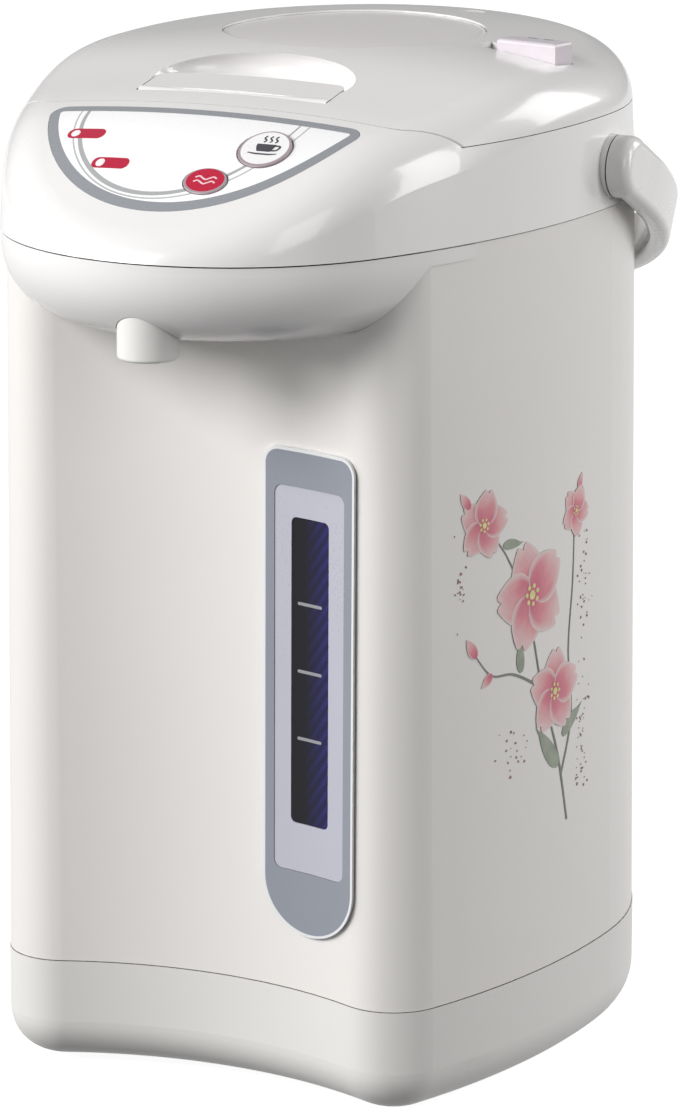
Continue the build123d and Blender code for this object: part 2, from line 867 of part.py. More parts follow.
def bowl(grow):
    sizes = (scoop_half + grow, scoop_length + grow, scoop_depth + grow)
    return Pos(0, scoop_y, scoop_z) * scale(Sphere(1), by=sizes)


def lever_pocket(grow):
    half = lever_half + 0.4 + grow
    low = lever_z - lever_barrel - 0.4 - grow
    return block((-half, half), (lever_front() - grow, scoop_y + 1), (low, scoop_z + 10))


def lever_front():
    return lever_y - lever_barrel - 0.4


def scoop_side(grow):
    return block((-crown_half, crown_half), (lever_front() - grow, 0), (lid_seam, scoop_z + 20))


def scoop_cutter():
    return (bowl(0) & scoop_side(0)) + lever_pocket(0)


def scoop_wall():
    outer = (bowl(bowl_wall) & scoop_side(bowl_wall)) + lever_pocket(bowl_wall)
    return outer & head_form(0) & lid_prism(seam_gap / 2)


def lever_slot():
    return block((-5.6, 5.6), (lever_front(), lever_y + 7), (lid_seam, lever_z))


def lid_lever():
    plan = Pos(0, (lever_y + lever_rear) / 2) * Rectangle(2 * lever_half, lever_rear - lever_y)
    plan = fillet(plan.vertices().group_by(Axis.Y)[-1], 3)
    blade = extrude(Pos(0, 0, lid_seam) * plan, 40)
    blade = (blade & head_form(0)) - Pos(0, 0, -lever_thick) * head_form(0)
    barrel = crosswise(lever_barrel, -lever_half, lever_half, lever_y, lever_z)
    arm = block((-5, 5), (lever_y - 1.5, lever_y + 1.5), (latch_low + 0.3, lever_z))
    return blade + barrel + arm - crosswise(lever_pin_radius + pivot_gap, -40, 40, lever_y, lever_z)


def lever_pin():
    return crosswise(lever_pin_radius, -lever_half - 2, lever_half + 2, lever_y, lever_z)


def lid_latch():
    front = lid_front - latch_reach
    rear = lever_y + 6
    high = latch_low + latch_height
    body = block((-latch_half, latch_half), (front, rear), (latch_low, high))
    body = chamfer(body.edges().filter_by(lambda edge: edge.center().Y < front + 0.1 and edge.center().Z < latch_low + 0.1), 1.5)
    return body - block((-5.5, 5.5), (lever_y - 3.2, lever_y + 2.2), (latch_low - 1, high + 1))


def latch_spring():
    start = lever_y + 6
    wire = 0.7
    turns = 7
    length = latch_spring_length
    path = Helix(pitch=(length - 2 * wire) / turns, height=length - 2 * wire, radius=1.3)
    coil = sweep(Plane(origin=path @ 0, z_dir=path % 0) * Circle(wire / 2), path, is_frenet=True)
    return Pos(0, start + wire, latch_low + latch_height / 2) * Rot(-90, 0, 0) * coil


def lid_liner():
    low = liner_low
    inset = plastic_wall + liner_gap
    plan = lid_plan(inset)
    rear = Pos(0, lid_rear - 4 - crown_half) * Rectangle(4 * crown_half, 2 * crown_half)
    outer = head_form(inset) & extrude(Pos(0, 0, low) * (plan & rear), lid_seam + 2 - low)
    inner_plan = lid_plan(inset + liner_wall)
    inner_rear = Pos(0, lid_rear - 4 - liner_wall - crown_half) * Rectangle(4 * crown_half, 2 * crown_half)
    cavity = head_form(inset + liner_wall) & extrude(Pos(0, 0, low + liner_wall) * (inner_plan & inner_rear), 20)
    body = outer - cavity
    stop = lever_y + 6 + latch_spring_length
    body += block((-6, 6), (stop, stop + 2), (low + 1, latch_low + latch_height + 1))
    body -= upright(6, low - 1, low + 4, 0, plate_y)
    for place in screw_places():
        body -= place * upright(1.5, low - 1, low + 4)
    return body - latch_hole()


def inner_lid():
    rim_z = liner_low - 2
    points = [
        (0, inner_lid_low), (inner_lid_radius - 12, inner_lid_low), (inner_lid_radius - 2, rim_z),
        (inner_lid_radius, rim_z), (inner_lid_radius, liner_low), (0, liner_low),
    ]
    dish = revolved(points)
    hollow = [
        (0, inner_lid_low + 1), (inner_lid_radius - 12.5, inner_lid_low + 1),
        (inner_lid_radius - 3, rim_z + 0.8), (inner_lid_radius - 3, liner_low + 1), (0, liner_low + 1),
    ]
    holes = PolarLocations(30, 12) * upright(1.5, inner_lid_low - 1, inner_lid_low + 3)
    return dish - revolved(hollow) - holes


def lid_gasket():
    return pipe(gasket_radius, inner_lid_radius, liner_low - 3.4, liner_low)


def vent_prism(gap):
    plan = Pos(vent_x, vent_y, lid_seam) * SlotOverall(vent_length + 2 * gap, vent_width + 2 * gap)
    return extrude(plan, crown_half)


def steam_vent():
    body = (vent_prism(0) & sunk_head(0.3)) - sunk_head(plastic_wall + 2)
    slots = Pos(vent_x, vent_y) * GridLocations(2.4, 0, 3, 1) * block((-0.6, 0.6), (-2.2, 2.2), (lid_seam, 400))
    return body - slots


# Push plate and its bellows

def pump_plate():
    disc = upright(plate_radius, lid_seam, lid_seam + 40, 0, plate_y)
    top = (disc & sunk_head(plate_recess)) - sunk_head(plate_recess + plate_thick)
    rim = plate_radius - 2.2
    high = hinge_z + 4
    skirt = pipe(plate_radius, rim, high - plate_skirt, high, 0, plate_y)
    skirt += pipe(plate_radius, rim, high - 1, high + 10, 0, plate_y) & sunk_head(plate_recess)
    seat = pipe(bellows_radius, bellows_radius - 3, plate_seat, hinge_z + 5, 0, plate_y)
    return top + skirt + seat


def pump_bellows():
    low = liner_low + liner_wall
    high = plate_seat
    step = (high - low) / (2 * bellows_folds)
    folds = range(2 * bellows_folds + 1)
    outer = [(bellows_radius - 5 * (fold % 2), low + fold * step) for fold in folds]
    inner = [(radius - 1.4, z) for radius, z in reversed(outer)]
    return Pos(0, plate_y) * revolved(outer + inner)


def pump_spring():
    wire = 1.6
    low = liner_low + liner_wall
    high = plate_seat + 3.0
    turns = 5
    height = high - low - wire
    path = Helix(pitch=height / turns, height=height, radius=14)
    coil = sweep(Plane(origin=path @ 0, z_dir=path % 0) * Circle(wire / 2), path, is_frenet=True)
    return Pos(0, plate_y, low + wire / 2) * coil


# Lock slider

def slider_frame():
    return Pos(slider_x, slider_y) * Rot(0, 0, slider_turn)


def slider_slot():
    half = slider_width / 2 + 0.3
    rear = slider_length / 2
    slot = block((-rear - slider_travel - 1.5, rear + 0.8), (-half, half), (slider_low, slider_top + 5))
    return slider_frame() * slot


def tongue_window():
    # The opening in the guide ring that lets the tongue of the lock under the push plate
    half = slider_width / 2 - 1.5 + slide_gap
    high = tongue_low + 3 + slide_gap
    reach = math.hypot(slider_x, slider_y - plate_y) - plate_radius + guide_wall / 2
    window = block((-reach, 0), (-half, half), (tongue_low - slide_gap, high))
    return slider_frame() * window


def lock_slider():
    half = slider_length / 2
    wide = slider_width / 2
    body = slider_frame() * block((-half, half), (-wide, wide), (slider_low, slider_top))
    top = body.edges().filter_by(lambda edge: edge.bounding_box().min.Z > slider_top - 1)
    body = fillet(top, 1.4)
    wings = block((-half + 3, half - 5), (-wide - 1.6, wide + 1.6), (slider_low, slider_low + 2))
    narrow = wide - 1.5
    stem = block((-half + 3, -half + 7), (-narrow, narrow), (tongue_low, slider_low))
    reach = math.hypot(slider_x, slider_y - plate_y) - tongue_reach
    tongue = block((-reach, -half + 7), (-narrow, narrow), (tongue_low, tongue_low + 3))
    return body + slider_frame() * (wings + stem + tongue)


# Swing handle, turned down behind the body at rest

def handle_turned():
    return Pos(0, 0, handle_z) * Rot(-handle_rest, 0, 0)


def carry_handle():
    gap = handle_reach - handle_straight
    side = handle_half - handle_bend
    far = (side**2 + gap**2 - handle_bend**2) / (2 * (gap - handle_bend))
    far_centre = Vector(0, handle_reach - far)
    near_centre = Vector(side, handle_straight)
    joint = far_centre + (near_centre - far_centre).normalized() * far
    start = Vector(handle_half, 0)
    bend = Vector(handle_half, handle_straight)
    edges = [
        Line(start, bend),
        arc_about(near_centre, bend, joint),
        ThreePointArc(joint, Vector(0, handle_reach), mirrored(joint)),
        arc_about(mirrored(near_centre), mirrored(joint), mirrored(bend)),
        Line(mirrored(bend), mirrored(start)),
    ]
    section = Plane(origin=start, z_dir=(0, 1, 0), x_dir=(1, 0, 0))
    bow = sweep(section * RectangleRounded(handle_thick, handle_tall, handle_round), Wire(edges))
    return handle_turned() * (bow + handle_hub(1) + handle_hub(-1)) - handle_pins()


def handle_hub(side):
    hub_half = handle_thick / 2 + 0.1
    ends = sorted((side * (handle_half - hub_half), side * (handle_half + hub_half)))
    hub = crosswise(hub_disc, ends[0], ends[1], 0, 0)
    rim = hub.edges().filter_by(lambda edge: abs(edge.center().X) > handle_half)
    return fillet(rim, handle_thick / 2)


def handle_pins():
    pins = []
    for sign in (-1, 1):
        inner = back_radius - jacket_draft - 7 - cover_gap
        pin = crosswise(handle_pin, *sorted((sign * (inner - 2), sign * handle_half)), 0, handle_z)
        head = crosswise(handle_pin + 3, *sorted((sign * (inner - 2), sign * inner)), 0, handle_z)
        pins.append(pin + head)
    return Compound(children=pins)


# Power parts in the foot

def power_inlet():
    face_y = back_radius + base_proud - 1
    wide = inlet_width / 2
    high = inlet_height / 2
    flange_y = face_y - plastic_wall - 1.3
    flange = block((-wide, wide), (flange_y - 3, flange_y), (inlet_z - high, inlet_z + high))
    half = inlet_width / 2 - 2.2
    tall = inlet_height / 2 - 2.2
    nose = block((-half, half), (face_y - inlet_depth, face_y), (inlet_z - tall, inlet_z + tall))
    wide = socket_width / 2
    high = socket_height / 2
    socket = block((-wide, wide), (face_y - socket_depth, face_y + 1), (inlet_z - high, inlet_z + high))
    return flange + nose - socket - inlet_pins()


def inlet_pins():
    face_y = back_radius + base_proud - 1
    root = face_y - inlet_depth - 4
    tip = face_y - socket_depth + blade_length
    pins = []
    for x, z in ((-7, 2.0), (7, 2.0), (0, -2.0)):
        pins.append(block((x - 1, x + 1), (root, tip), (inlet_z + z - 2, inlet_z + z + 2)))
    return Compound(children=pins)


def main_board():
    low = recess_top + plastic_wall + 5
    board = block((-36, 22), (8, 62), (low, low + board_thick))
    relay = block((-30, -12), (18, 32), (low + board_thick, low + board_thick + 14))
    coil = upright(9, low + board_thick, low + board_thick + 12, 8, 26)
    posts = Pos(-7, 42) * GridLocations(50, 30, 2, 2) * upright(2.5, recess_top + plastic_wall, low)
    return board + relay + coil + posts



os.makedirs("parts", exist_ok=True)

pieces = [
    turntable, rubber_feet, swivel_retainer, swivel_screw,
    base_shell, body_jacket, gauge_bezel, gauge_label, gauge_window, level_tube,
    inner_pot, pot_seal, pot_filter, heater_plate, thermostat, pot_cradle, cradle_screws,
    pump_housing, pump_motor, inlet_tube, outlet_elbow, outlet_pipe,
    collar, panel_overlay, indicator_lenses, control_board,
    chin_cover, spout_nozzle,
    lid_shell, lid_screws, lid_lever, lever_pin, lid_latch, latch_spring, lid_liner, inner_lid, lid_gasket,
    hinge_pin, steam_vent, pump_plate, pump_bellows, pump_spring, lock_slider,
    carry_handle, handle_pins, power_inlet, inlet_pins, main_board,
]
for piece in pieces:
    save(piece.__name__, piece())
save("dispense_button", push_button(dispense_place(), dispense_radius, 1.0))
save("reboil_button", push_button(reboil_place(), reboil_half, reboil_aspect))
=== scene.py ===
import bpy
import bmesh
import math
import random
from mathutils import Matrix, Vector
from mathutils.bvhtree import BVHTree


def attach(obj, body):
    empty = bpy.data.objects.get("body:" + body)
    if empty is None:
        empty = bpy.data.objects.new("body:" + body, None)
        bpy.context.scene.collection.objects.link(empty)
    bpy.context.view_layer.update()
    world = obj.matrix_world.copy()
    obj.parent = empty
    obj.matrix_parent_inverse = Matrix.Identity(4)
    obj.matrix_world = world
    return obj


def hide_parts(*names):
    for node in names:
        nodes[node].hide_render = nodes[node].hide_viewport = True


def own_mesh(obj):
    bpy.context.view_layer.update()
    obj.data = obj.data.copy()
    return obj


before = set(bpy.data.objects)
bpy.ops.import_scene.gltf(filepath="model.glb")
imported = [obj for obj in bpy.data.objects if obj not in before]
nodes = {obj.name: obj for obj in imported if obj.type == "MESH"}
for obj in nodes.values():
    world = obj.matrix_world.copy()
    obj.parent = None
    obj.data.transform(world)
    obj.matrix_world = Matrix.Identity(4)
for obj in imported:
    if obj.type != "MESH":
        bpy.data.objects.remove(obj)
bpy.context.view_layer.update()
mm = 0.001
inMm = (mm, mm, mm)
white = (1, 1, 1, 1)
print("frame loaded:", len(nodes), "nodes")


# camera

cameraView = {
    "place": (0.7641, -1.5864, 0.60835), "down": 14.06, "turn": 25.818, "lens": 164.7, "film": 36,
}


def makeCamera(view):
    data = bpy.data.cameras.new("camera")
    data.lens = view["lens"]
    data.sensor_width = view["film"]
    camera = bpy.data.objects.new("camera", data)
    camera.location = view["place"]
    camera.rotation_euler = (math.radians(90 - view["down"]), 0, math.radians(view["turn"]))
    bpy.context.scene.collection.objects.link(camera)
    bpy.context.scene.camera = camera


makeCamera(cameraView)


# node helpers

# where a Mix node keeps its colour sockets
mixSockets = {"share": 0, "first": 6, "second": 7, "result": 2}
noiseSpan = (0.3, 0.7)  # where most of a fine noise lies
slowSpan = (0.35, 0.65)  # where most of a slow noise lies


def tone(red, green, blue):
    # a colour as a paint card gives it, 0 to 255, made linear
    def linear(value):
        value /= 255
        return value / 12.92 if value <= 0.04045 else ((value + 0.055) / 1.055) ** 2.4
    return (linear(red), linear(green), linear(blue), 1)


def shaded(colour, factor):
    return tuple(min(1.0, part * factor) for part in colour[:3]) + (1,)


def startMaterial(name):
    material = bpy.data.materials.new(name)
    material.use_nodes = True
    return material, material.node_tree, material.node_tree.nodes["Principled BSDF"]


def feed(tree, socket, value):
    if isinstance(value, bpy.types.NodeSocket):
        tree.links.new(value, socket)
    else:
        socket.default_value = value


def calc(tree, operation, *values):
    node = tree.nodes.new("ShaderNodeMath")
    node.operation = operation
    for socket, value in zip(node.inputs, values):
        feed(tree, socket, value)
    return node.outputs[0]


def minus(tree, a, b):
    return calc(tree, "SUBTRACT", a, b)


def times(tree, a, b):
    return calc(tree, "MULTIPLY", a, b)


def notBelow(tree, value, least):
    return calc(tree, "MAXIMUM", value, least)


def mixed(tree, share, first, second):
    node = tree.nodes.new("ShaderNodeMix")
    node.data_type = "RGBA"
    feed(tree, node.inputs[mixSockets["share"]], share)
    feed(tree, node.inputs[mixSockets["first"]], first)
    feed(tree, node.inputs[mixSockets["second"]], second)
    return node.outputs[mixSockets["result"]]


def ranged(tree, value, low, high, toLow=0.0, toHigh=1.0):
    node = tree.nodes.new("ShaderNodeMapRange")
    feed(tree, node.inputs["Value"], value)
    node.inputs["From Min"].default_value = low
    node.inputs["From Max"].default_value = high
    node.inputs["To Min"].default_value = toLow
    node.inputs["To Max"].default_value = toHigh
    return node.outputs["Result"]


def placeOf(tree, origin=(0, 0, 0), turn=(0, 0, 0), scale=(1, 1, 1)):
    # Object coordinates, centred and turned to a piece of the dispenser
    where = tree.nodes.new("ShaderNodeTexCoord")
    mapping = tree.nodes.new("ShaderNodeMapping")
    mapping.vector_type = "TEXTURE"
    mapping.inputs["Location"].default_value = origin
    mapping.inputs["Rotation"].default_value = turn
    mapping.inputs["Scale"].default_value = scale
    tree.links.new(where.outputs["Object"], mapping.inputs["Vector"])
    return mapping.outputs["Vector"]


def axesOf(tree, vector, names):
    node = tree.nodes.new("ShaderNodeSeparateXYZ")
    tree.links.new(vector, node.inputs[0])
    return [node.outputs[name] for name in names]


def noiseOf(tree, vector, scale, detail=2.0):
    node = tree.nodes.new("ShaderNodeTexNoise")
    tree.links.new(vector, node.inputs["Vector"])
    node.inputs["Scale"].default_value = scale
    node.inputs["Detail"].default_value = detail
    return node.outputs["Fac"]


def bumpOf(tree, shader, height, depth):
    node = tree.nodes.new("ShaderNodeBump")
    node.inputs["Distance"].default_value = depth
    node.inputs["Strength"].default_value = 1
    tree.links.new(height, node.inputs["Height"])
    tree.links.new(node.outputs[0], shader.inputs["Normal"])


def baseOf(shader):
    return shader.inputs["Base Color"].links[0].from_socket


def setBase(tree, shader, colour):
    feed(tree, shader.inputs["Base Color"], colour)


def roughen(tree, shader, noise, low, high):
    # a gloss that wavers from place to place
    feed(tree, shader.inputs["Roughness"], ranged(tree, noise, *noiseSpan, low, high))


# plane shapes, to print on a material

def hypotOf(tree, a, b):
    return calc(tree, "SQRT", calc(tree, "ADD", times(tree, a, a), times(tree, b, b)))


def inside(tree, value, edge, soft=0.06):
    # 1 below the edge, 0 above it
    return ranged(tree, value, edge - soft, edge + soft, 1.0, 0.0)


def outside(tree, value, edge):
    return minus(tree, 1.0, inside(tree, value, edge))


def fromCentre(tree, x, y, centre):
    return hypotOf(tree, minus(tree, x, centre[0]), minus(tree, y, centre[1]))


def barShape(tree, x, y, centre, half, radius):
    # a bar with round ends
    past = minus(tree, calc(tree, "ABSOLUTE", minus(tree, x, centre[0])), half - radius)
    return inside(tree, hypotOf(tree, notBelow(tree, past, 0.0), minus(tree, y, centre[1])), radius)


# kinds of finish

# painted shade for the narrow gaps between parts: its colour, and how far and how finely the occlusion
# looks
joint = {"reach": 0.0022, "open": 0.62, "shut": 0.3, "colour": tone(108, 101, 98), "samples": 8}


def paintedGapShade(tree, colour, look=joint):
    # painted shade: the colour darkens towards the look's colour where ambient occlusion finds the narrow
    # gaps between parts shut in
    room = tree.nodes.new("ShaderNodeAmbientOcclusion")
    room.samples = look["samples"]
    room.inputs["Distance"].default_value = look["reach"]
    closed = ranged(tree, room.outputs["AO"], look["shut"], look["open"], 1.0, 0.0)
    return mixed(tree, closed, colour, look["colour"])


moulding = {"slow": 9.0, "drift": 0.03, "shares": (0.3, 0.7), "waver": (0.82, 1.18), "coatRough": 0.06}


def mouldedFinish(name, colour, rough, grain=900.0, depth=0.00001, coat=0.0, joints=False, look=moulding):
    # moulded plastic: faint drift of colour, uneven gloss, fine grain of the mould, and painted shade in
    # narrow gaps between parts if asked
    material, tree, shader = startMaterial(name)
    place = placeOf(tree)
    slow = noiseOf(tree, place, look["slow"])
    fine = noiseOf(tree, place, grain)
    share = ranged(tree, slow, *slowSpan)
    soft = mixed(tree, share, shaded(colour, 1 - look["drift"]), colour)
    setBase(tree, shader, paintedGapShade(tree, soft) if joints else soft)
    fineShare, slowShare = look["shares"]
    uneven = calc(tree, "MULTIPLY_ADD", fine, fineShare, times(tree, slow, slowShare))
    roughen(tree, shader, uneven, *[rough * factor for factor in look["waver"]])
    shader.inputs["Coat Weight"].default_value = coat
    shader.inputs["Coat Roughness"].default_value = look["coatRough"]
    bumpOf(tree, shader, fine, depth)
    return material, tree, shader


def paintedSteel(name, look):
    # pearl paint on sheet steel: small bright flakes under a clear coat, with painted shade in narrow gaps
    # between parts
    material, tree, shader = startMaterial(name)
    place = placeOf(tree)
    flakes = tree.nodes.new("ShaderNodeTexVoronoi")
    flakes.inputs["Scale"].default_value = look["flake"]
    tree.links.new(place, flakes.inputs["Vector"])
    glint = ranged(tree, flakes.outputs["Distance"], *look["glintSpan"])
    slow = ranged(tree, noiseOf(tree, place, look["slow"]), *slowSpan)
    base = mixed(tree, slow, look["shade"], look["colour"])
    pearl = mixed(tree, times(tree, glint, look["glint"]), base, look["pearl"])
    setBase(tree, shader, paintedGapShade(tree, pearl))
    feed(tree, shader.inputs["Roughness"], ranged(tree, glint, 0, 1, *look["rough"]))
    shader.inputs["Coat Weight"].default_value = look["coat"]
    shader.inputs["Coat Roughness"].default_value = look["coatRough"]
    bumpOf(tree, shader, noiseOf(tree, place, look["ripple"]), look["depth"])
    return material


brushing = {"detail": 4.0, "dark": 0.86, "waver": (0.7, 1.4), "depth": 0.00002}


def brushedMetal(name, colour, rough, along, look=brushing):
    # turned or drawn metal: fine lines in one direction
    material, tree, shader = startMaterial(name)
    lines = noiseOf(tree, placeOf(tree, scale=along), 1.0, look["detail"])
    setBase(tree, shader, mixed(tree, lines, shaded(colour, look["dark"]), colour))
    roughen(tree, shader, lines, *[rough * factor for factor in look["waver"]])
    shader.inputs["Metallic"].default_value = 1.0
    bumpOf(tree, shader, lines, look["depth"])
    return material


rubber = {
    "grain": 700.0, "detail": 4.0, "dark": 0.9, "light": 1.1, "waver": (0.85, 1.1), "soak": 0.002,
    "depth": 0.00004,
}


def rubberFinish(name, colour, rough, clear=0.0, look=rubber):
    # rubber and silicone: a fine speck, and light that soaks in where it is clear
    material, tree, shader = startMaterial(name)
    speck = noiseOf(tree, placeOf(tree), look["grain"], look["detail"])
    setBase(tree, shader, mixed(tree, speck, shaded(colour, look["dark"]), shaded(colour, look["light"])))
    roughen(tree, shader, speck, *[rough * factor for factor in look["waver"]])
    shader.inputs["Subsurface Weight"].default_value = clear
    shader.inputs["Subsurface Radius"].default_value = (look["soak"],) * 3
    bumpOf(tree, shader, speck, look["depth"])
    return material


tube = {"colour": tone(240, 244, 246), "grain": 120.0, "rough": (0.03, 0.1), "dark": 0.95, "clear": 0.9}


def clearPlastic(name, look):
    material, tree, shader = startMaterial(name)
    fine = noiseOf(tree, placeOf(tree), look["grain"])
    roughen(tree, shader, fine, *look["rough"])
    setBase(tree, shader, mixed(tree, fine, look["colour"], shaded(look["colour"], look["dark"])))
    shader.inputs["Transmission Weight"].default_value = look["clear"]
    return material


# finishes of the dispenser

paint = {
    "colour": tone(231, 228, 225), "shade": tone(228, 225, 222), "pearl": tone(246, 242, 237),
    "flake": 2600.0, "glint": 0.1, "glintSpan": (0.15, 0.55), "slow": 6.0, "rough": (0.34, 0.46),
    "coat": 0.35, "coatRough": 0.12, "ripple": 260.0, "depth": 0.00001,
}

# the gloss and satin whites carry painted shade in the gaps between parts
glossWhite = mouldedFinish("glossWhite", tone(239, 237, 236), rough=0.24, coat=0.5, joints=True)[0]
satinWhite = mouldedFinish("satinWhite", tone(229, 227, 224), rough=0.34, grain=700.0, depth=0.00002,
                           joints=True)[0]
linerWhite = mouldedFinish("linerWhite", tone(232, 231, 228), rough=0.38, grain=500.0, depth=0.00002)[0]
jacketPaint = paintedSteel("jacketPaint", paint)
greyPlastic = mouldedFinish("greyPlastic", tone(150, 151, 152), rough=0.5, grain=300.0, depth=0.00006)[0]
blackPlastic = mouldedFinish("blackPlastic", tone(34, 34, 36), rough=0.42, grain=420.0, depth=0.00005)[0]
darkRubber = rubberFinish("darkRubber", tone(46, 46, 48), rough=0.8)
siliconeWhite = rubberFinish("siliconeWhite", tone(206, 206, 202), rough=0.5, clear=0.3)
potSteel = brushedMetal("potSteel", tone(226, 224, 220), rough=0.34, along=(0.01, 0.01, 0.0004))
lidSteel = brushedMetal("lidSteel", tone(216, 214, 210), rough=0.28, along=(0.0005, 0.04, 0.04))
brightSteel = brushedMetal("brightSteel", tone(196, 196, 196), rough=0.28, along=(0.004, 0.004, 0.0006))
brassBlade = brushedMetal("brassBlade", tone(214, 178, 106), rough=0.3, along=(0.0006, 0.004, 0.004))
clearTube = clearPlastic("clearTube", tube)


# push plate and lock slider

plateY = 0.0045  # the push plate's axis
plate = {
    "colour": tone(230, 226, 225), "rough": 0.3, "coat": 0.2, "centre": (0, plateY, 0), "rim": 45.0,
    "soft": 0.15, "paintedRimHighlight": tone(252, 251, 251),
}


def plateFinish(look):
    # the push plate is a touch darker than the lid; the pale band round its edge is a painted highlight
    material, tree, shader = mouldedFinish("plateWhite", look["colour"], look["rough"], coat=look["coat"])
    x, y = axesOf(tree, placeOf(tree, look["centre"], scale=inMm), "XY")
    # painted highlight: a pale band at the rim radius
    rim = ranged(tree, hypotOf(tree, x, y), look["rim"] - look["soft"], look["rim"] + look["soft"])
    setBase(tree, shader, mixed(tree, rim, baseOf(shader), look["paintedRimHighlight"]))
    return material


slider = {
    "colour": tone(216, 208, 214), "rough": 0.3, "coat": 0.2, "place": (0.0735, -0.0065, 0), "turn": -12,
    "slotShade": tone(70, 66, 70), "marks": [(-2.7, 3.3), (3.9, 3.3)], "half": 2.2, "tall": 0.9,
    "top": 355.5, "soft": 0.1,
}


def sliderFinish(look):
    # two short dark marks on its top are painted shade standing in for two small slots
    material, tree, shader = mouldedFinish("sliderPink", look["colour"], look["rough"], coat=look["coat"])
    turn = (0, 0, math.radians(look["turn"]))
    x, y, z = axesOf(tree, placeOf(tree, look["place"], turn, inMm), "XYZ")
    colour = baseOf(shader)
    onTop = ranged(tree, z, look["top"] - look["soft"], look["top"] + look["soft"])
    for centre in look["marks"]:
        bar = barShape(tree, x, y, centre, look["half"], look["tall"])
        colour = mixed(tree, times(tree, bar, onTop), colour, look["slotShade"])
    setBase(tree, shader, colour)
    return material


plateWhite = plateFinish(plate)
sliderPink = sliderFinish(slider)


# circuit boards

board = {
    "mask": (tone(24, 92, 58), tone(20, 80, 52)), "track": tone(48, 124, 76), "scale": 160.0,
    "width": 0.06, "rough": (0.3, 0.45), "depth": 0.00003,
}


def boardFinish(look):
    # green solder mask over copper tracks
    material, tree, shader = startMaterial("boardGreen")
    tracks = tree.nodes.new("ShaderNodeTexBrick")
    tracks.inputs["Scale"].default_value = look["scale"]
    tracks.inputs["Mortar Size"].default_value = look["width"]
    tracks.inputs["Color1"].default_value, tracks.inputs["Color2"].default_value = look["mask"]
    tracks.inputs["Mortar"].default_value = look["track"]
    tree.links.new(placeOf(tree), tracks.inputs["Vector"])
    setBase(tree, shader, tracks.outputs["Color"])
    feed(tree, shader.inputs["Roughness"], ranged(tree, tracks.outputs["Fac"], 0, 1, *look["rough"]))
    bumpOf(tree, shader, tracks.outputs["Fac"], look["depth"])
    return material


boardGreen = boardFinish(board)


# control panel: grey border, fine arcs, two red lamp bars, rings round the buttons

panelPrint = {
    "film": tone(253, 253, 253), "border": tone(148, 151, 156), "line": tone(152, 154, 156),
    "width": 3.5, "radius": 60.5, "centre": (0, -92.0), "rear": -106.4, "corner": 5.0,
    "arc": {"centre": (-3.5, -105.3), "outer": 42.9, "inner": 42.35, "share": 0.75},
    "crescent": {"outerCentre": (-4.0, -107.0), "outer": 39.9, "innerCentre": (-3.7, -106.4),
                 "inner": 39.0, "share": 0.85},
    "bars": [
        {"centre": (-37.4, -122.8), "half": 7.0, "radius": 2.4, "lamp": (-41.5, -122.8)},
        {"centre": (-21.8, -135.4), "half": 6.9, "radius": 2.2, "lamp": (-25.6, -135.4)},
    ],
    "bar": tone(186, 28, 62), "lamp": tone(250, 244, 246), "lampRadius": 1.55,
    "grain": 1500.0, "rough": (0.27, 0.31), "coat": 0.3, "depth": 0.000002,
}


def panelFinish(look):
    material, tree, shader = startMaterial("panelPrint")
    x, y = axesOf(tree, placeOf(tree, scale=inMm), "XY")
    fromArc = minus(tree, look["radius"], fromCentre(tree, x, y, look["centre"]))
    fromRear = minus(tree, look["rear"], y)
    corner = look["corner"]
    arcPart = notBelow(tree, minus(tree, corner, fromArc), 0.0)
    rearPart = notBelow(tree, minus(tree, corner, fromRear), 0.0)
    nearest = notBelow(tree, calc(tree, "MINIMUM", fromArc, fromRear), corner)
    depth = minus(tree, nearest, hypotOf(tree, arcPart, rearPart))
    arc, crescent = look["arc"], look["crescent"]
    fromMiddle = fromCentre(tree, x, y, arc["centre"])
    arcShape = times(tree, inside(tree, fromMiddle, arc["outer"]), outside(tree, fromMiddle, arc["inner"]))
    within = inside(tree, fromCentre(tree, x, y, crescent["outerCentre"]), crescent["outer"])
    beyond = outside(tree, fromCentre(tree, x, y, crescent["innerCentre"]), crescent["inner"])
    colour = mixed(tree, times(tree, arcShape, arc["share"]), look["film"], look["line"])
    crescentShape = times(tree, within, beyond)
    colour = mixed(tree, times(tree, crescentShape, crescent["share"]), colour, look["line"])
    for bar in look["bars"]:
        shape = barShape(tree, x, y, bar["centre"], bar["half"], bar["radius"])
        colour = mixed(tree, shape, colour, look["bar"])
        lamp = inside(tree, fromCentre(tree, x, y, bar["lamp"]), look["lampRadius"])
        colour = mixed(tree, lamp, colour, look["lamp"])
    setBase(tree, shader, mixed(tree, inside(tree, depth, look["width"]), colour, look["border"]))
    fine = noiseOf(tree, placeOf(tree), look["grain"])
    roughen(tree, shader, fine, *look["rough"])
    shader.inputs["Coat Weight"].default_value = look["coat"]
    bumpOf(tree, shader, fine, look["depth"])
    return material


# the two buttons
caps = {"rough": 0.28, "coat": 0.3, "ringColour": tone(166, 152, 158)}
dispense = {
    "node": "dispense_button", "colour": tone(246, 245, 245), "x": 0.0295, "y": -0.1243, "tilt": 30,
    "ring": 8.2, "aspect": 1.0,
}
reboil = {
    "node": "reboil_button", "colour": tone(190, 26, 60), "x": 0.0155, "y": -0.1398, "tilt": 35,
    "ring": 6.75, "aspect": 0.78,
}


def capCentre(look):
    # the middle of a button's face, found from above
    mesh = nodes[look["node"]].data
    points = [vertex.co.copy() for vertex in mesh.vertices]
    surface = BVHTree.FromPolygons(points, [list(face.vertices) for face in mesh.polygons])
    hit = surface.ray_cast(Vector((look["x"], look["y"], 1)), Vector((0, 0, -1)))[0]
    return (look["x"], look["y"], hit.z)


